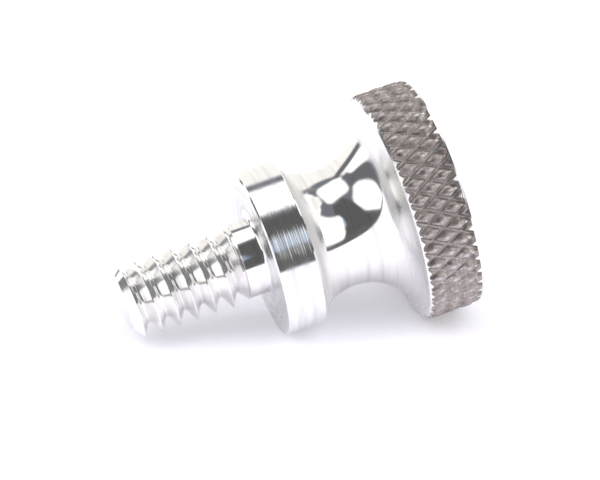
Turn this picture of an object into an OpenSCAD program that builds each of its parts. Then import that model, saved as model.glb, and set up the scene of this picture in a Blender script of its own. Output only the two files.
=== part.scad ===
// Knurled thumb screw, turned in one piece from round bar.
// It stands on its head: the flat end of the head is at z = 0, and the thread points up.

/* [Head] */
// Diameter over the crests of the knurl
head_d = 13.25; // [10.5:0.05:17]
// Width of the knurled band
knurl_w = 3.04; // [2:0.02:5]
// Width of the plain rim at the end of the head
rim_w = 0.16; // [0.1:0.02:1]
// How far the rim stands below the crests of the knurl
rim_drop = 0.08; // [0.02:0.01:0.15]
// How far the rim's diameter goes on under the ends of the grooves
rim_reach = 0.34; // [0.2:0.02:0.6]
// Chamfer at the end of the head
end_chamfer = 0.08; // [0.02:0.01:0.1]
// Chamfer where the knurled band meets the neck
band_chamfer = 0.27; // [0.05:0.01:0.35]

/* [Knurl] */
// Number of grooves of each hand round the head
knurl_count = 42; // [30:1:56]
// Lean of the grooves from the axis, in degrees
knurl_lean = 30; // [20:1:40]
// Depth of a groove below the crests
knurl_depth = 0.29; // [0.2:0.01:0.45]
// Angle between the two sides of a groove, in degrees
knurl_angle = 90; // [80:1:100]
// Length over which each groove rises to the plain rim
knurl_runout = 0.14; // [0.06:0.02:0.8]

/* [Neck] */
// Length of the neck, from the head to the collar
neck_l = 5.5; // [4.4:0.02:9]
// Smallest diameter of the neck
waist_d = 6.9; // [5.5:0.05:8.4]
// Radius of the hollow that is turned round the neck
neck_r = 3.24; // [2.8:0.02:4]
// Step from the edge of the collar down to the neck behind it
foot_step = 0.38; // [0.2:0.02:0.5]

/* [Collar] */
// Diameter of the collar
collar_d = 9.55; // [7.9:0.05:11.5]
// Thickness of the collar
collar_w = 2.28; // [1.2:0.02:4]
// Chamfer on both edges of the collar
collar_chamfer = 0.08; // [0.02:0.01:0.15]

/* [Shank] */
// Outside diameter of the thread
thread_d = 4.7; // [3.9:0.02:5.7]
// Length of the threaded part, with its pointed end
thread_l = 6.87; // [4:0.01:16]
// Diameter of the flat end of the thread
tip_d = 3.35; // [2:0.05:3.8]
// How far the plain part under the collar lies below the thread's crests
relief_drop = 0.16; // [0.05:0.01:0.5]
// Length of the plain part under the collar
relief_l = 1.28; // [0.6:0.02:3]
// Fillet between the plain part and the collar
relief_fillet = 0.18; // [0.05:0.01:0.3]

/* [Hidden] */
$fn = 96;

head_r = head_d / 2;
rim_r = head_r - rim_drop;
waist_r = waist_d / 2;
collar_r = collar_d / 2;
thread_r = thread_d / 2;
relief_r = thread_r - relief_drop;
tip_r = tip_d / 2;

// Heights of the shoulders above the end of the head
head_top = rim_w + knurl_w;
collar_bottom = head_top + neck_l;
collar_top = collar_bottom + collar_w;
thread_bottom = collar_top + relief_l;
tip_top = thread_bottom + thread_l;

// One arc rises from the band's chamfer to the waist, and goes on to the foot at the collar.
// A neck that is too long for it gets a straight waist between two such arcs.
edge_r = head_r - band_chamfer;
foot_r = collar_r - foot_step;
hollow_r = waist_r + neck_r;
hollow_z = head_top + sqrt(neck_r ^ 2 - max(0, hollow_r - edge_r) ^ 2);
foot_z = collar_bottom - sqrt(neck_r ^ 2 - (hollow_r - foot_r) ^ 2);
waist_l = foot_z - hollow_z;

groove_root_r = head_r - knurl_depth;
groove_top = 1; // how far a cutter reaches out from the bottom of its groove
groove_reach = 2 * knurl_w / cos(knurl_lean);
groove_outer_r = head_r + groove_top;
groove_inner_r = groove_root_r - groove_top;

// Half outline of the head, from its flat end to the foot of the band's chamfer
module head_outline() {
    polygon([
        [0, 0],
        [rim_r - end_chamfer, 0],
        [rim_r, end_chamfer],
        [rim_r, rim_w + rim_reach],
        [head_r, rim_w + rim_reach],
        [head_r, head_top - band_chamfer],
        [edge_r, head_top],
        [0, head_top]
    ]);
}

// Half outline of the neck, hollowed by the arcs
module neck_outline() {
    difference() {
        translate([0, head_top]) square([min(edge_r, hollow_r), neck_l]);
        translate([hollow_r, hollow_z]) circle(neck_r);
        if (waist_l > 0) {
            translate([hollow_r, foot_z]) circle(neck_r);
            translate([waist_r, hollow_z]) square([2 * neck_r, waist_l]);
        }
    }
}

// Half outline of the collar and the shank, with both ends of the thread chamfered
module shank_outline() {
    polygon([
        [0, collar_bottom],
        [collar_r - collar_chamfer, collar_bottom],
        [collar_r, collar_bottom + collar_chamfer],
        [collar_r, collar_top - collar_chamfer],
        [collar_r - collar_chamfer, collar_top],
        [relief_r, collar_top],
        [relief_r, thread_bottom],
        [thread_r, thread_bottom + relief_drop],
        [thread_r, tip_top - thread_r + tip_r],
        [tip_r, tip_top],
        [0, tip_top]
    ]);
    translate([relief_r, collar_top])
        difference() {
            square(relief_fillet);
            translate([relief_fillet, relief_fillet]) circle(relief_fillet);
        }
}

// The blank as it leaves the lathe
module turned_blank() {
    rotate_extrude() {
        head_outline();
        neck_outline();
        shank_outline();
    }
}

// One straight V cutter across the knurled band, on the +X side of the head
module groove_cutter(lean) {
    translate([groove_root_r, 0, rim_w + knurl_w / 2])
        rotate([lean, 0, 0])
            linear_extrude(groove_reach, center = true)
                polygon([
                    [0, 0],
                    [groove_top, groove_top * tan(knurl_angle / 2)],
                    [groove_top, -groove_top * tan(knurl_angle / 2)]
                ]);
}

// Height at which the slope that ends the grooves stands, at a distance from the axis
function runout_z(r) = rim_w + knurl_runout * (rim_r - r) / (rim_r - groove_root_r);

// Half outline of the space that the grooves may take, above the slope that ends them
module groove_space_outline() {
    polygon([
        [groove_inner_r, runout_z(groove_inner_r)],
        [groove_outer_r, runout_z(groove_outer_r)],
        [groove_outer_r, head_top + knurl_w],
        [groove_inner_r, head_top + knurl_w]
    ]);
}

// Every groove of both hands, running out before the plain rim
module knurl_grooves() {
    intersection() {
        rotate_extrude() groove_space_outline();
        union()
            for (i = [0:knurl_count - 1], lean = [-knurl_lean, knurl_lean])
                rotate([0, 0, i * 360 / knurl_count]) groove_cutter(lean);
    }
}

module thumb_screw() {
    color("silver")
        difference() {
            turned_blank();
            knurl_grooves();
        }
}

thumb_screw();
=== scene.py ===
import math

import bmesh
import bpy
from mathutils import Matrix, Vector


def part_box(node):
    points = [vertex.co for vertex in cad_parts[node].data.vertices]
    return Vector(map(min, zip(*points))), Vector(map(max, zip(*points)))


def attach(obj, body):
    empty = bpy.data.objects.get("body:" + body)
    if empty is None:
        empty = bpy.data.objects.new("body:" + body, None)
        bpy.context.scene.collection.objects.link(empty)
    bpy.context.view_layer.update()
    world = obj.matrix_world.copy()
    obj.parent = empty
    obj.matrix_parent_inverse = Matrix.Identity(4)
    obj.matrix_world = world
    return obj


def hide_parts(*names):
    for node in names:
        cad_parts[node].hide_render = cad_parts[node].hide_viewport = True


# Turned thumb screw: polished neck, ringed collar, right-hand thread and a diamond knurl.
# The screw stands on its head in this file, as it is packed. The floor leans, because the screw
# is shown lying on the rims of its head and collar. Sizes are in millimetres.

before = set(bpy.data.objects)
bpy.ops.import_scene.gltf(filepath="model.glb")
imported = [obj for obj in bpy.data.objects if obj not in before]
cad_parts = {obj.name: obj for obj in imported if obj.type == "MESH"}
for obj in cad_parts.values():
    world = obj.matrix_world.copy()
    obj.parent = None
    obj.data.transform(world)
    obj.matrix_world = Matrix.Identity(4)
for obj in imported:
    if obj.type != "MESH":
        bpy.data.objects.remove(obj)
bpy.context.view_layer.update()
nodeLow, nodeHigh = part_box("thumb_screw")
print("frame loaded")

mm = 0.001
headRadius = (nodeHigh.x - nodeLow.x) / 2 / mm
screwLength = (nodeHigh.z - nodeLow.z) / mm
knurlPitches = 42
ringSteps = 6 * knurlPitches
chamferSlope = 1  # 45 degrees

onPlane = 1e-6  # a corner this near a cutting plane lies on it
touching = 1e-5  # a corner this near a limit counts as on it
weldGap = 1e-4  # copies of a part are welded where they are closer than this
sliver = 2e-3  # edges shorter than this are dropped where a cut grazes the mesh
near = 0.01  # two heights this close are the same level

finishes = ["polishedSteel", "ringedSteel", "facedSteel", "knurledSteel", "threadedSteel"]
polished, ringed, faced, knurled, threaded = range(len(finishes))


# An outline is drawn in the plane y = 0, corner by corner, and then turned round the axis

def startAt(bm, radius, height):
    return bm.verts.new((radius, 0, height))


def lineTo(bm, corner, radius, height):
    newCorner = bmesh.ops.extrude_vert_indiv(bm, verts=[corner])["verts"][0]
    newCorner.co = (radius, 0, height)
    return newCorner


def arcTo(bm, corner, centreRadius, centreHeight, degrees, steps):
    swept = bmesh.ops.spin(
        bm, geom=[corner], cent=(centreRadius, 0, centreHeight), axis=(0, 1, 0),
        angle=math.radians(degrees), steps=steps, use_merge=False)
    return [item for item in swept["geom_last"] if isinstance(item, bmesh.types.BMVert)][0]


def turnOutline(bm):
    bmesh.ops.spin(
        bm, geom=bm.verts[:] + bm.edges[:], cent=(0, 0, 0), axis=(0, 0, 1),
        angle=math.tau, steps=ringSteps, use_merge=True)
    bmesh.ops.remove_doubles(bm, verts=bm.verts[:], dist=touching)


def setFinish(bm, finish):
    for face in bm.faces:
        face.material_index = finish


# A strip lies flat with x round the screw, y along it and z as height over the crests.
# pressStrip cuts it along a sloping plane and moves what is on the wrong side on to the plane.

def pressStrip(bm, lineY, lineZ, slope, keepBelow, finish, endY=math.inf):
    corners = [corner for corner in bm.verts if corner.co.y < endY + touching]
    inside = set(corners)
    edges = [edge for edge in bm.edges if inside.issuperset(edge.verts)]
    faces = [face for face in bm.faces if inside.issuperset(face.verts)]
    normal = Vector((0, -slope, 1)).normalized()
    bmesh.ops.bisect_plane(
        bm, geom=corners + edges + faces, dist=onPlane, plane_co=(0, lineY, lineZ), plane_no=normal)
    pressed = set()
    for corner in bm.verts:
        limit = lineZ + (corner.co.y - lineY) * slope
        over = corner.co.z - limit
        if corner.co.y < endY + touching and (abs(over) < touching or (over > 0) == keepBelow):
            corner.co.z = limit
            pressed.add(corner)
    for face in bm.faces:
        if pressed.issuperset(face.verts):
            face.material_index = finish


def cutAcross(bm, y):
    bmesh.ops.bisect_plane(
        bm, geom=bm.verts[:] + bm.edges[:] + bm.faces[:], dist=onPlane,
        plane_co=(0, y, 0), plane_no=(0, 1, 0))


def trimStrip(bm, place, normal):
    bmesh.ops.bisect_plane(
        bm, geom=bm.verts[:] + bm.edges[:] + bm.faces[:], dist=onPlane,
        plane_co=place, plane_no=normal, clear_outer=True)


def wrapStrip(bm, radius, startAngle):
    for corner in bm.verts:
        x, y, z = corner.co
        angle = startAngle + x / radius
        corner.co = ((radius + z) * math.cos(angle), (radius + z) * math.sin(angle), y)


def openEdges(bm, lowest, highest):
    return [edge for edge in bm.edges if edge.is_boundary
            and all(lowest < corner.co.z < highest for corner in edge.verts)]


def trueRing(bm, height, radius):
    # Makes the open ring near a height flat and round
    ring = openEdges(bm, height - near, height + near)
    corners = list(dict.fromkeys(corner for edge in ring for corner in edge.verts))
    for corner in corners:
        corner.co *= radius / math.hypot(corner.co.x, corner.co.y)
        corner.co.z = height
    bmesh.ops.remove_doubles(bm, verts=corners, dist=sliver)
    return openEdges(bm, height - near, height + near)


def addPart(whole, part):
    carrier = bpy.data.meshes.new("carrier")
    part.to_mesh(carrier)
    whole.from_mesh(carrier)
    bpy.data.meshes.remove(carrier)
    part.free()


# Head: knurled band between a plain rim and the flare of the neck. One pitch of the knurl is cut
# from a sheet of raised diamonds, wrapped on the head and repeated round it.

head = dict(
    rimStart=0.16,  # height at which the grooves start
    rimEnd=0.50,  # the ridges are turned down to the rim's radius up to here
    crestEase=0.04,  # and rise to their full height over this length
    rimDrop=0.08,
    joinGap=0.01,  # left under the grooves for the faces that join them to the rim
    endChamfer=0.08,
    top=3.20,
    bandChamfer=0.27,
    lean=30,  # degrees from the axis
    grooveDepth=0.29,
    sheetCells=10,  # diamonds each way in the sheet, enough for one pitch of the whole band
    # a diamond rises in steps: share of it left inside, and depth below the crest
    diamondSteps=((0.97, 0.29), (0.8, 0.205), (0.62, 0.12), (0.46, 0.055), (0.32, 0.02), (0.18, 0.005),
                  (0.08, 0.0)),
    runOut=0.14,  # length over which the grooves sink from the rim
    riseStart=3.08,  # the grooves rise again inside the chamfer, and close before the flare
    riseSlope=2.0,
    crestHeight=1.703,  # one crest stands at this height and angle
    crestAngle=-95.8,
)


def makeKnurl():
    bm = bmesh.new()
    pitch = math.tau * headRadius / knurlPitches
    axialPitch = pitch / math.tan(math.radians(head["lean"]))
    cells = head["sheetCells"]
    bmesh.ops.create_grid(bm, x_segments=cells, y_segments=cells, size=cells / 2)
    bmesh.ops.translate(bm, verts=bm.verts[:], vec=(0.5, 0.5, -head["grooveDepth"]))
    share, depth = 1, head["grooveDepth"]
    tops = bm.faces[:]
    for nextShare, nextDepth in head["diamondSteps"]:
        bmesh.ops.inset_individual(
            bm, faces=tops, thickness=(share - nextShare) / 2, depth=depth - nextDepth,
            use_even_offset=True)
        share, depth = nextShare, nextDepth
    bmesh.ops.rotate(bm, verts=bm.verts[:], cent=(0, 0, 0), matrix=Matrix.Rotation(math.pi / 4, 3, "Z"))
    bmesh.ops.scale(bm, verts=bm.verts[:], vec=(pitch / math.sqrt(2), axialPitch / math.sqrt(2), 1))
    bmesh.ops.translate(bm, verts=bm.verts[:], vec=(0, head["crestHeight"], 0))

    # One pitch wide, from the rim to the top of the band
    trimStrip(bm, (-pitch / 2, 0, 0), (-1, 0, 0))
    trimStrip(bm, (pitch / 2, 0, 0), (1, 0, 0))
    trimStrip(bm, (0, head["rimStart"], 0), (0, -1, 0))
    trimStrip(bm, (0, head["top"], 0), (0, 1, 0))
    runSlope = (head["grooveDepth"] - head["rimDrop"]) / head["runOut"]
    setFinish(bm, knurled)
    cutAcross(bm, head["rimEnd"])
    cutAcross(bm, head["rimEnd"] + head["crestEase"])
    pressStrip(bm, 0, -head["rimDrop"], 0, keepBelow=True, finish=ringed, endY=head["rimEnd"])
    pressStrip(bm, head["rimStart"], -head["rimDrop"], -runSlope, keepBelow=False, finish=knurled)
    pressStrip(bm, head["riseStart"], -head["grooveDepth"], head["riseSlope"], keepBelow=False,
               finish=knurled)
    pressStrip(bm, head["top"], -head["bandChamfer"], -chamferSlope, keepBelow=True, finish=ringed)
    wrapStrip(bm, headRadius, math.radians(head["crestAngle"]))
    bmesh.ops.spin(
        bm, geom=bm.verts[:] + bm.edges[:] + bm.faces[:], cent=(0, 0, 0), axis=(0, 0, 1),
        angle=math.tau, steps=knurlPitches, use_duplicate=True, use_merge=True)
    bmesh.ops.remove_doubles(bm, verts=bm.verts[:], dist=weldGap)
    return bm


def makeHeadEnd():
    bm = bmesh.new()
    rimRadius = headRadius - head["rimDrop"]
    corner = startAt(bm, rimRadius, head["rimStart"] - head["joinGap"])
    corner = lineTo(bm, corner, rimRadius, head["endChamfer"])
    corner = lineTo(bm, corner, rimRadius - head["endChamfer"], 0)
    lineTo(bm, corner, 0, 0)
    turnOutline(bm)
    setFinish(bm, ringed)
    return bm


# Neck, collar and the plain part under it

neck = dict(
    waistRadius=3.45,
    hollowRadius=3.24,
    startRadius=6.0,  # the outline starts here, and faces join it to the knurled band
    arcSteps=72,
)
collar = dict(
    bottom=8.70,
    top=10.98,
    radius=4.775,
    footStep=0.38,  # how far the collar stands out from the end of the hollow
    chamfer=0.08,
)
relief = dict(
    radius=2.19,
    fillet=0.18,
    filletSteps=6,
    end=12.26,  # the thread starts here
    joinGap=0.02,  # left for the faces that join it to the thread
)


def hollowHeight(radius):
    return hollowCentre[1] - math.sqrt(neck["hollowRadius"] ** 2 - (hollowCentre[0] - radius) ** 2)


def centreOfHollow():
    # The hollow meets the head where the chamfer of the knurled band ends
    centreRadius = neck["waistRadius"] + neck["hollowRadius"]
    edge = centreRadius - (headRadius - head["bandChamfer"])
    return centreRadius, head["top"] + math.sqrt(neck["hollowRadius"] ** 2 - edge ** 2)


hollowCentre = centreOfHollow()


def makeNeckAndCollar():
    bm = bmesh.new()
    startHeight = hollowHeight(neck["startRadius"])
    footRadius = collar["radius"] - collar["footStep"]
    startTurn = math.atan2(hollowCentre[1] - startHeight, hollowCentre[0] - neck["startRadius"])
    footTurn = math.acos((hollowCentre[0] - footRadius) / neck["hollowRadius"])
    corner = startAt(bm, neck["startRadius"], startHeight)
    corner = arcTo(bm, corner, *hollowCentre, math.degrees(startTurn + footTurn), neck["arcSteps"])
    edge = collar["radius"] - collar["chamfer"]
    corner = lineTo(bm, corner, edge, collar["bottom"])
    corner = lineTo(bm, corner, collar["radius"], collar["bottom"] + collar["chamfer"])
    corner = lineTo(bm, corner, collar["radius"], collar["top"] - collar["chamfer"])
    corner = lineTo(bm, corner, edge, collar["top"])
    filletRadius = relief["radius"] + relief["fillet"]
    corner = lineTo(bm, corner, filletRadius, collar["top"])
    corner = arcTo(bm, corner, filletRadius, collar["top"] + relief["fillet"], 90, relief["filletSteps"])
    lineTo(bm, corner, relief["radius"], relief["end"] - relief["joinGap"])
    turnOutline(bm)
    for face in bm.faces:
        height = face.calc_center_median().z
        if collar["bottom"] + near < height < collar["top"] - near:
            face.material_index = ringed
        elif collar["bottom"] - near < height < collar["top"] + near:
            face.material_index = faced
        else:
            face.material_index = polished
    return bm


# Thread: one pitch of its outline, repeated and swept round as a flat strip

thread = dict(
    radius=2.35,
    pitch=1.0583,
    flankLean=30,  # degrees
    crestFlat=0.05,
    rootRadius=0.13,
    rootSteps=8,
    crestHeight=14.605,  # one crest stands at this height and angle
    crestAngle=-90,
    tipRadius=1.675,
    runOutSlope=1.0,  # how steeply the groove sinks from the plain part
    aroundSteps=ringSteps // 2,
)


def makeThread():
    bm = bmesh.new()
    bottom, top = relief["end"], screwLength
    pitch = thread["pitch"]
    around = math.tau * thread["radius"]
    turns = math.ceil((top - bottom) / pitch) + 3  # some to spare, which the trims take off
    slope = 1 / math.tan(math.radians(thread["flankLean"]))
    halfCrest = thread["crestFlat"] / 2
    sharpDepth = (pitch / 2 - halfCrest) * slope
    corner = bm.verts.new((0, -halfCrest, 0))
    for y, z in ((halfCrest, 0), (pitch / 2, -sharpDepth), (pitch - halfCrest, 0)):
        corner = bmesh.ops.extrude_vert_indiv(bm, verts=[corner])["verts"][0]
        corner.co = (0, y, z)
    bmesh.ops.bevel(
        bm, geom=[corner for corner in bm.verts if corner.co.z < -sharpDepth / 2],
        offset=thread["rootRadius"] * slope, offset_type="OFFSET", affect="VERTICES",
        segments=thread["rootSteps"], profile=0.5, material=-1)
    bmesh.ops.spin(
        bm, geom=bm.verts[:] + bm.edges[:], cent=(0, 0, 0), axis=(0, 0, 1), angle=0,
        dvec=(0, pitch, 0), steps=turns - 1, use_duplicate=True)
    bmesh.ops.remove_doubles(bm, verts=bm.verts[:], dist=weldGap)
    steps = thread["aroundSteps"]
    bmesh.ops.spin(
        bm, geom=bm.verts[:] + bm.edges[:], cent=(0, 0, 0), axis=(0, 0, 1), angle=0,
        dvec=(around / steps, pitch / steps, 0), steps=steps)
    below = math.ceil((thread["crestHeight"] - bottom) / pitch) + 1
    bmesh.ops.translate(bm, verts=bm.verts[:], vec=(0, thread["crestHeight"] - below * pitch, 0))
    trimStrip(bm, (0, bottom, 0), (0, -1, 0))
    trimStrip(bm, (0, top, 0), (0, 1, 0))
    drop = relief["radius"] - thread["radius"]
    setFinish(bm, threaded)
    conesMeet = bottom - near  # just outside the strip, whose end is made true afterwards
    pressStrip(bm, conesMeet, drop, -thread["runOutSlope"], keepBelow=False, finish=threaded)
    pressStrip(bm, conesMeet, drop, chamferSlope, keepBelow=True, finish=threaded)
    tipDrop = thread["tipRadius"] - thread["radius"]
    pressStrip(bm, top, tipDrop, -chamferSlope, keepBelow=True, finish=threaded)
    wrapStrip(bm, thread["radius"], math.radians(thread["crestAngle"]))
    bmesh.ops.remove_doubles(bm, verts=bm.verts[:], dist=weldGap)
    bmesh.ops.dissolve_degenerate(bm, edges=bm.edges[:], dist=sliver)
    trueRing(bm, bottom, relief["radius"])
    bmesh.ops.edgeloop_fill(bm, edges=trueRing(bm, top, thread["tipRadius"]))
    return bm


# Whole screw: the parts joined by rings of faces, turned outwards

sharpFrom = 28  # a bend of this many degrees or more stays a sharp edge
sharpInKnurl = 80


def makeScrew():
    bm = makeKnurl()
    for part in (makeHeadEnd(), makeNeckAndCollar(), makeThread()):
        addPart(bm, part)
    startHeight = hollowHeight(neck["startRadius"])
    rim = openEdges(bm, 0, head["rimStart"] + near)
    flare = openEdges(bm, head["top"] - near, startHeight + near)
    shank = openEdges(bm, relief["end"] - relief["joinGap"] - near, relief["end"] + near)
    for edges, finish in ((rim, ringed), (flare, polished), (shank, threaded)):
        for face in bmesh.ops.bridge_loops(bm, edges=edges)["faces"]:
            face.material_index = finish
    bmesh.ops.scale(bm, verts=bm.verts[:], vec=(mm, mm, mm))
    bmesh.ops.delete(bm, geom=[edge for edge in bm.edges if edge.is_wire], context="EDGES")
    bmesh.ops.recalc_face_normals(bm, faces=bm.faces[:])
    if bm.calc_volume(signed=True) < 0:
        bmesh.ops.reverse_faces(bm, faces=bm.faces[:])
    for edge in bm.edges:
        finishHere = {face.material_index for face in edge.link_faces}
        bend = math.degrees(abs(edge.calc_face_angle_signed(0)))
        edge.smooth = bend < (sharpInKnurl if finishHere == {knurled} else sharpFrom)
    for face in bm.faces:
        face.smooth = True
    mesh = bpy.data.meshes.new("turnedScrew")
    bm.to_mesh(mesh)
    bm.free()
    piece = bpy.data.objects.new("turnedScrew", mesh)
    bpy.context.scene.collection.objects.link(piece)
    return piece


screw = makeScrew()
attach(screw, "root")
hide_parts("thumb_screw")
print("screw made,", len(screw.data.polygons), "faces")


# Node helpers

def addNode(tree, kind, **inputs):
    node = tree.nodes.new(kind)
    for name, value in inputs.items():
        fillSocket(tree, node.inputs[name], value)
    return node


def fillSocket(tree, socket, value):
    if isinstance(value, bpy.types.NodeSocket):
        tree.links.new(value, socket)
    else:
        socket.default_value = value


def calculate(tree, operation, *values):
    node = tree.nodes.new("ShaderNodeMath")
    node.operation = operation
    for socket, value in zip(node.inputs, values):
        fillSocket(tree, socket, value)
    return node.outputs[0]


def calculateVector(tree, operation, *values):
    node = tree.nodes.new("ShaderNodeVectorMath")
    node.operation = operation
    for socket, value in zip(node.inputs, values):
        fillSocket(tree, socket, value)
    return node.outputs


def rampOf(tree, value, start, end, low=0.0, high=1.0):
    ramp = tree.nodes.new("ShaderNodeMapRange")
    ramp.interpolation_type = "SMOOTHSTEP"
    sockets = ("Value", "From Min", "From Max", "To Min", "To Max")
    for name, number in zip(sockets, (value, start, end, low, high)):
        fillSocket(tree, ramp.inputs[name], number)
    return ramp.outputs["Result"]


def layColour(tree, under, mask, shade):
    mix = tree.nodes.new("ShaderNodeMix")
    mix.data_type = "RGBA"
    colours = [socket for socket in mix.inputs if socket.type == "RGBA"]
    fillSocket(tree, mix.inputs["Factor"], mask)
    fillSocket(tree, colours[0], under)
    fillSocket(tree, colours[1], shade + (1,))
    return [socket for socket in mix.outputs if socket.type == "RGBA"][0]


def mixShaders(tree, factor, first, second):
    mix = tree.nodes.new("ShaderNodeMixShader")
    for socket, value in zip(mix.inputs, (factor, first, second)):
        fillSocket(tree, socket, value)
    return mix.outputs[0]


def newGroup(name, inputs, outputs):
    group = bpy.data.node_groups.new(name, "ShaderNodeTree")
    for socketName, kind in inputs.items():
        group.interface.new_socket(socketName, in_out="INPUT", socket_type="NodeSocket" + kind)
    for socketName, kind in outputs.items():
        group.interface.new_socket(socketName, in_out="OUTPUT", socket_type="NodeSocket" + kind)
    return group, group.nodes.new("NodeGroupInput").outputs, group.nodes.new("NodeGroupOutput").inputs


def addGroup(tree, group, **inputs):
    node = tree.nodes.new("ShaderNodeGroup")
    node.node_tree = group
    for name, value in inputs.items():
        fillSocket(tree, node.inputs[name], value)
    return node


# Studio: a white room with softboxes and dark gaps between them, placed by direction.
# Turn is measured clockwise from the direction away from the camera, height from the floor.

view = dict(
    elevation=9.24,
    roll=-109.27,  # lays the screw down in the picture
    distance=268.52,
    aim=(-0.03, 0, 8.504),
    lens=288.05,
    sensor=36,
    clipStart=0.01,  # metres
    clipEnd=10,
)
floorPlace = dict(
    turn=-28.49,  # turn and tilt point the floor's upward direction
    tilt=-13.15,
    drop=7.148,  # how far it lies below the origin
    halfWidth=600,
)

cameraTurn = (Matrix.Rotation(math.radians(90 - view["elevation"]), 4, "X")
              @ Matrix.Rotation(math.radians(view["roll"]), 4, "Z"))
floorTurn, floorTilt = math.radians(floorPlace["turn"]), math.radians(floorPlace["tilt"])
studioUp = Vector((math.cos(floorTurn) * math.cos(floorTilt), math.sin(floorTurn) * math.cos(floorTilt),
                   math.sin(floorTilt)))
studioRight = (cameraTurn @ Vector((1, 0, 0))).normalized()
studioAway = studioUp.cross(studioRight)

white = (1, 1, 1, 1)
studioBase = (1.12, 1.09, 1.05)
studioCards = [
    # name, turn from, turn to, height from, height to, lean, corner, softness, colour;
    # a later card hides an earlier one, and a corner under half the softness lets the room through
    ("column", 146, 214, -4, 70, 0, 4, 8, (0.12, 0.12, 0.12)),
    ("lowWall", 100, 250, -4, 7, 0, 3, 5, (0.14, 0.14, 0.14)),
    ("sideColumn", 257, 300, -5, 56, 0, 4, 8, (0.165, 0.168, 0.185)),
    ("farColumn", 306, 319.5, -4, 55, 0.18, 3, 6, (0.17, 0.17, 0.18)),
    ("softboxEdge", 146, 163.5, 24, 43.5, 0, 6, 5, (0.4, 0.5, 0.68)),
    ("softboxRight", 56, 156.5, 6, 48, 0.3, 12, 7, (1.5, 1.5, 1.5)),
    ("softboxUpper", 40, 98, 30, 60, 0, 8, 8, (1.5, 1.5, 1.5)),
    ("softboxLeft", 213, 263, -1, 50, 0, 15, 8, (1.5, 1.5, 1.5)),
    ("softboxFar", 288, 306.5, -16, 41, 0, 5, 6, (1.5, 1.5, 1.5)),
    ("softboxOver", 48, 90, 50, 70, 0, 8, 6, (1.12, 1.1, 1.07)),
    ("columnFoot", 184, 222, -6, 30, -1.1, 3, 7, (0.12, 0.12, 0.12)),
    ("archFoot", 26, 38, 32, 58, -1.06, 3, 7, (0.3, 0.3, 0.31)),
]
studioDiscs = [
    # name, turn, height, radius, softness, colour
    ("ring", 170, 88, 43, 8, (0.2, 0.205, 0.235)),
]
studioCeiling = [
    # as the cards, but measured in degrees from straight up: to the right, and away from the camera
    ("overhead", -32.5, 15, -14, 26, 0, 11, 8, (1.5, 1.5, 1.5)),
]
softLight = dict(low=0.10, high=3.6, focus=6, turn=118, height=46)  # lights the floor, from both sides


def directionOf(turn, height):
    turn, height = math.radians(turn), math.radians(height)
    level = studioAway * math.cos(turn) + studioRight * math.sin(turn)
    return level * math.cos(height) + studioUp * math.sin(height)


def fadeMask(tree, outside, softness):
    return rampOf(tree, calculate(tree, "DIVIDE", outside, softness), 0.5, -0.5)


def dotWith(tree, vector, axis):
    return calculateVector(tree, "DOT_PRODUCT", vector, axis)["Value"]


def makeCardGroup():
    names = ("Turn", "Height", "Centre Turn", "Centre Height", "Half Width", "Half Height", "Lean",
             "Corner", "Softness")
    group, ins, outs = newGroup("studioCard", {name: "Float" for name in names}, {"Mask": "Float"})
    fromCentre = calculate(group, "SUBTRACT", ins["Height"], ins["Centre Height"])
    leaning = calculate(group, "MULTIPLY", ins["Lean"], fromCentre)
    across = calculate(group, "SUBTRACT", ins["Turn"], ins["Centre Turn"])
    across = calculate(group, "SUBTRACT", across, leaning)
    across = calculate(group, "WRAP", across, 180, -180)
    beyond = []
    for distance, half in ((across, ins["Half Width"]), (fromCentre, ins["Half Height"])):
        inner = calculate(group, "SUBTRACT", half, ins["Corner"])
        outside = calculate(group, "SUBTRACT", calculate(group, "ABSOLUTE", distance), inner)
        beyond.append(calculate(group, "POWER", calculate(group, "MAXIMUM", outside, 0), 2))
    reach = calculate(group, "SQRT", calculate(group, "ADD", *beyond))
    outside = calculate(group, "SUBTRACT", reach, ins["Corner"])
    fillSocket(group, outs["Mask"], fadeMask(group, outside, ins["Softness"]))
    return group


def makeDiscGroup():
    inputs = {"Direction": "Vector", "Axis": "Vector", "Radius": "Float", "Softness": "Float"}
    group, ins, outs = newGroup("studioDisc", inputs, {"Mask": "Float"})
    angle = calculate(group, "ARCCOSINE", dotWith(group, ins["Direction"], ins["Axis"]))
    outside = calculate(group, "SUBTRACT", calculate(group, "DEGREES", angle), ins["Radius"])
    fillSocket(group, outs["Mask"], fadeMask(group, outside, ins["Softness"]))
    return group


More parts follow.
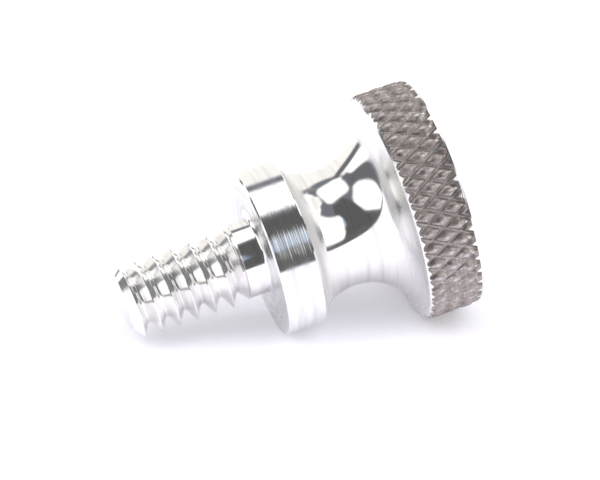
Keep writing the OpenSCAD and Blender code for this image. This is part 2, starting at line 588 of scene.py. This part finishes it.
def makeStudio():
    world = bpy.data.worlds.new("studio")
    bpy.context.scene.world = world
    world.use_nodes = True
    tree = world.node_tree
    tree.nodes.clear()
    direction = tree.nodes.new("ShaderNodeTexCoord").outputs["Generated"]
    up, right, away = (dotWith(tree, direction, axis) for axis in (studioUp, studioRight, studioAway))
    height = calculate(tree, "DEGREES", calculate(tree, "ARCSINE", up))
    turned = calculate(tree, "DEGREES", calculate(tree, "ARCTAN2", right, away))
    card, disc = makeCardGroup(), makeDiscGroup()
    colour = studioBase + (1,)
    for name, turn, centreHeight, radius, softness, shade in studioDiscs:
        mask = addGroup(tree, disc, Direction=direction, Axis=directionOf(turn, centreHeight),
                        Radius=radius, Softness=softness)
        mask.label = name
        colour = layColour(tree, colour, mask.outputs["Mask"], shade)
    fromUp = calculate(tree, "SUBTRACT", 90, height)
    turnRadians = calculate(tree, "RADIANS", turned)
    toRight = calculate(tree, "MULTIPLY", fromUp, calculate(tree, "SINE", turnRadians))
    toAway = calculate(tree, "MULTIPLY", fromUp, calculate(tree, "COSINE", turnRadians))
    placed = [(toRight, toAway) + row for row in studioCeiling]
    placed += [(turned, height) + row for row in studioCards]
    for across, upward, name, turnFrom, turnTo, lowest, highest, lean, corner, softness, shade in placed:
        mask = addGroup(tree, card, **{
            "Turn": across, "Height": upward,
            "Centre Turn": (turnFrom + turnTo) / 2, "Centre Height": (lowest + highest) / 2,
            "Half Width": (turnTo - turnFrom) / 2, "Half Height": (highest - lowest) / 2,
            "Lean": lean, "Corner": corner, "Softness": softness})
        mask.label = name
        colour = layColour(tree, colour, mask.outputs["Mask"], shade)
    room = addNode(tree, "ShaderNodeBackground", Color=colour)
    # Two soft lights, one on each side and a little towards the camera
    turnOut, heightUp = math.radians(softLight["turn"]), math.radians(softLight["height"])
    sideways = math.sin(turnOut) * math.cos(heightUp)
    facing = calculate(tree, "MULTIPLY", calculate(tree, "ABSOLUTE", right), sideways)
    facing = calculate(tree, "MULTIPLY_ADD", away, math.cos(turnOut) * math.cos(heightUp), facing)
    facing = calculate(tree, "MULTIPLY_ADD", up, math.sin(heightUp), facing)
    spot = calculate(tree, "POWER", calculate(tree, "MAXIMUM", facing, 0), softLight["focus"])
    level = calculate(tree, "MULTIPLY_ADD", spot, softLight["high"], softLight["low"])
    soft = addNode(tree, "ShaderNodeBackground", Color=white, Strength=level)
    backdrop = addNode(tree, "ShaderNodeBackground", Color=white)
    path = tree.nodes.new("ShaderNodeLightPath").outputs
    lit = mixShaders(tree, path["Is Diffuse Ray"], room.outputs[0], soft.outputs[0])
    seen = mixShaders(tree, path["Is Camera Ray"], lit, backdrop.outputs[0])
    addNode(tree, "ShaderNodeOutputWorld", Surface=seen)


makeStudio()


def makeCamera():
    lens = bpy.data.cameras.new("camera")
    lens.lens = view["lens"]
    lens.sensor_width = view["sensor"]
    lens.clip_start = view["clipStart"]
    lens.clip_end = view["clipEnd"]
    camera = bpy.data.objects.new("camera", lens)
    bpy.context.scene.collection.objects.link(camera)
    camera.matrix_world = (Matrix.Translation(Vector(view["aim"]) * mm) @ cameraTurn
                           @ Matrix.Translation((0, 0, view["distance"] * mm)))
    bpy.context.scene.camera = camera


makeCamera()


def makeFloor():
    bm = bmesh.new()
    bmesh.ops.create_grid(bm, x_segments=1, y_segments=1, size=floorPlace["halfWidth"] * mm)
    lean = Matrix((studioRight, studioAway, studioUp)).transposed()
    bmesh.ops.rotate(bm, verts=bm.verts[:], cent=(0, 0, 0), matrix=lean)
    bmesh.ops.translate(bm, verts=bm.verts[:], vec=studioUp * -floorPlace["drop"] * mm)
    mesh = bpy.data.meshes.new("floor")
    bm.to_mesh(mesh)
    bm.free()
    floor = bpy.data.objects.new("floor", mesh)
    bpy.context.scene.collection.objects.link(floor)
    mesh.materials.append(makeFloorPaper())


floorLook = dict(
    colour=(0.80, 0.785, 0.86),
    glow=0.25,  # to a camera ray
    glowInSteel=0.2,  # to a glossy ray
    darkFrom=75,  # painted reflection: from here towards the camera, glossy rays see the floor painted dark, as a dark room in the steel
    darkTo=120,
    dark=0.14,
)


def makeFloorPaper():
    material = bpy.data.materials.new("whitePaper")
    material.use_nodes = True
    tree = material.node_tree
    tree.nodes.clear()
    path = tree.nodes.new("ShaderNodeLightPath").outputs
    glossy = calculate(tree, "MAXIMUM", path["Is Glossy Ray"], path["Is Transmission Ray"])
    place = tree.nodes.new("ShaderNodeTexCoord").outputs["Object"]
    # Painted reflection: only glossy rays see a dark glow on the floor towards the camera, standing in for
    # a dark room mirrored in the steel
    nearer = calculate(tree, "MULTIPLY", dotWith(tree, place, studioAway), -1 / mm)
    paintedDarkRamp = rampOf(tree, nearer, floorLook["darkFrom"], floorLook["darkTo"])
    paintedDarkReflection = calculate(tree, "MULTIPLY", paintedDarkRamp, glossy)
    diffuse = addNode(tree, "ShaderNodeBsdfDiffuse", Color=floorLook["colour"] + (1,))
    strength = calculate(tree, "MULTIPLY", path["Is Camera Ray"], floorLook["glow"])
    strength = calculate(tree, "MULTIPLY_ADD", glossy, floorLook["glowInSteel"], strength)
    glow = addNode(tree, "ShaderNodeEmission", Color=white, Strength=strength)
    both = tree.nodes.new("ShaderNodeAddShader")
    fillSocket(tree, both.inputs[0], diffuse.outputs[0])
    fillSocket(tree, both.inputs[1], glow.outputs[0])
    dark = addNode(tree, "ShaderNodeEmission", Color=white, Strength=floorLook["dark"])
    front = mixShaders(tree, paintedDarkReflection, both.outputs[0], dark.outputs[0])
    # From underneath the paper can be seen through
    clear = tree.nodes.new("ShaderNodeBsdfTransparent").outputs[0]
    back = tree.nodes.new("ShaderNodeNewGeometry").outputs["Backfacing"]
    addNode(tree, "ShaderNodeOutputMaterial", Surface=mixShaders(tree, back, front, clear))
    return material


makeFloor()
print("studio made")


# Finishes

# marks is the depth of the turning marks in hundredths of a millimetre, fineness how many there are
# to a millimetre, and breakup how soon they break off round the screw
steel = dict(
    polishedSteel=dict(
        colour=(0.88, 0.87, 0.86), roughness=0.08, marks=0.07, fineness=9, breakup=1.2,
        flareRoughness=0.3, flareFrom=4.4, flareTo=5.0,  # the flare grows duller with the radius
        footRoughness=0.5, footFrom=7.85, footTo=8.3),  # and the foot of the neck with the height
    ringedSteel=dict(colour=(0.88, 0.88, 0.88), roughness=0.11, marks=0.5, fineness=11, breakup=1.4),
    facedSteel=dict(colour=(0.85, 0.84, 0.845), roughness=0.32, marks=1.0, fineness=9, breakup=1.0),
    knurledSteel=dict(
        colour=(0.39, 0.345, 0.325), roughness=0.43, marks=1.0, fineness=8, breakup=50,
        # crest lightens the diamond tops: worn steel and a painted glint
        crest=(0.56, 0.545, 0.535), crestGlintDepth=(0.016, 0.003),
        # root is a painted highlight: the groove bottoms are made lighter than the flanks
        root=(0.42, 0.39, 0.375), rootHighlightDepth=(0.23, 0.28),
        speckle=(0.62, 0.585, 0.57), speckleFrom=(0.5, 0.72)),
    threadedSteel=dict(
        colour=(0.94, 0.93, 0.92), metallic=0.93, roughness=0.12, marks=0.15, fineness=7, breakup=1.0,
        patchy=(0.95, 1.1)),
)
patches = dict(
    darkFrom=(0.45, 0.75),  # levels of the noise between which they come up
    darker=0.86,  # share of the colour that is left in them
    roughFrom=(0.3, 0.7),
    roughness=(0.7, 1.35),  # share of the roughness at either level, where a finish has no patchy
)


def makePlaceGroup():
    # Splits a place on the screw into its radius, its height and the direction round the axis
    group, ins, outs = newGroup(
        "placeOnScrew", {"Object": "Vector"}, {"Radius": "Float", "Height": "Float", "Around": "Vector"})
    apart = addNode(group, "ShaderNodeSeparateXYZ", Vector=ins["Object"]).outputs
    flat = addNode(group, "ShaderNodeCombineXYZ", X=apart["X"], Y=apart["Y"], Z=0).outputs[0]
    radius = calculateVector(group, "LENGTH", flat)["Value"]
    fillSocket(group, outs["Radius"], calculate(group, "DIVIDE", radius, mm))
    fillSocket(group, outs["Height"], calculate(group, "DIVIDE", apart["Z"], mm))
    fillSocket(group, outs["Around"], calculateVector(group, "NORMALIZE", flat)["Vector"])
    return group


def makeMarksGroup():
    # Fine rings that a lathe tool leaves, broken up a little round the axis
    group, ins, outs = newGroup(
        "turningMarks", {"Around": "Vector", "Along": "Float", "Fineness": "Float", "Breakup": "Float"},
        {"Rings": "Float", "Patches": "Float"})
    spread = group.nodes.new("ShaderNodeVectorMath")
    spread.operation = "SCALE"
    fillSocket(group, spread.inputs[0], ins["Around"])
    fillSocket(group, spread.inputs["Scale"], ins["Breakup"])
    step = calculate(group, "MULTIPLY", ins["Along"], ins["Fineness"])
    along = addNode(group, "ShaderNodeCombineXYZ", X=0, Y=0, Z=step).outputs[0]
    place = calculateVector(group, "ADD", spread.outputs[0], along)["Vector"]
    fine = addNode(group, "ShaderNodeTexNoise", Vector=place, Scale=1.0, Detail=3.0, Roughness=0.6)
    broad = addNode(group, "ShaderNodeTexNoise", Vector=place, Scale=0.35, Detail=2.0, Roughness=0.5)
    fillSocket(group, outs["Rings"], fine.outputs["Fac"])
    fillSocket(group, outs["Patches"], broad.outputs["Fac"])
    return group


placeGroup, marksGroup = makePlaceGroup(), makeMarksGroup()


def roughnessOf(tree, look, place):
    roughness = look["roughness"]
    if "flareRoughness" in look:
        flare = rampOf(tree, place["Radius"], look["flareFrom"], look["flareTo"], roughness,
                       look["flareRoughness"])
        foot = rampOf(tree, place["Height"], look["footFrom"], look["footTo"], flare,
                      look["footRoughness"])
        roughness = rampOf(tree, place["Height"], collar["bottom"], collar["top"], foot, roughness)
    return roughness


def colourOf(tree, look, place, marks):
    colour = look["colour"] + (1,)
    if "crest" in look:
        # Lighter diamond tops are worn steel with a painted glint on them
        depth = calculate(tree, "SUBTRACT", headRadius, place["Radius"])
        colour = layColour(tree, colour, rampOf(tree, depth, *look["crestGlintDepth"]), look["crest"])
        # Painted highlight: lighter colour along the bottoms of the grooves
        colour = layColour(tree, colour, rampOf(tree, depth, *look["rootHighlightDepth"]), look["root"])
        return layColour(tree, colour, rampOf(tree, marks["Rings"], *look["speckleFrom"]), look["speckle"])
    darker = tuple(patches["darker"] * channel for channel in look["colour"])
    return layColour(tree, colour, rampOf(tree, marks["Patches"], *patches["darkFrom"]), darker)


def makeSteel(name, look):
    material = bpy.data.materials.new(name)
    material.use_nodes = True
    tree = material.node_tree
    shader = tree.nodes["Principled BSDF"]
    shader.inputs["Metallic"].default_value = look.get("metallic", 1)
    coordinates = tree.nodes.new("ShaderNodeTexCoord").outputs
    place = addGroup(tree, placeGroup, Object=coordinates["Object"]).outputs
    along = place["Radius"] if name == "facedSteel" else place["Height"]
    marks = addGroup(tree, marksGroup, Around=place["Around"], Along=along,
                     Fineness=look["fineness"], Breakup=look["breakup"]).outputs
    fillSocket(tree, shader.inputs["Base Color"], colourOf(tree, look, place, marks))
    swing = look.get("patchy", patches["roughness"])
    patchy = rampOf(tree, marks["Patches"], *patches["roughFrom"], *swing)
    roughness = calculate(tree, "MULTIPLY", patchy, roughnessOf(tree, look, place))
    fillSocket(tree, shader.inputs["Roughness"], roughness)
    depth = look["marks"] * mm / 100
    bump = addNode(tree, "ShaderNodeBump", Height=marks["Rings"], Strength=1.0, Distance=depth)
    fillSocket(tree, shader.inputs["Normal"], bump.outputs[0])
    return material


for name in finishes:
    screw.data.materials.append(makeSteel(name, steel[name]))
print("steel finished")

bpy.context.scene.view_settings.view_transform = "Standard"
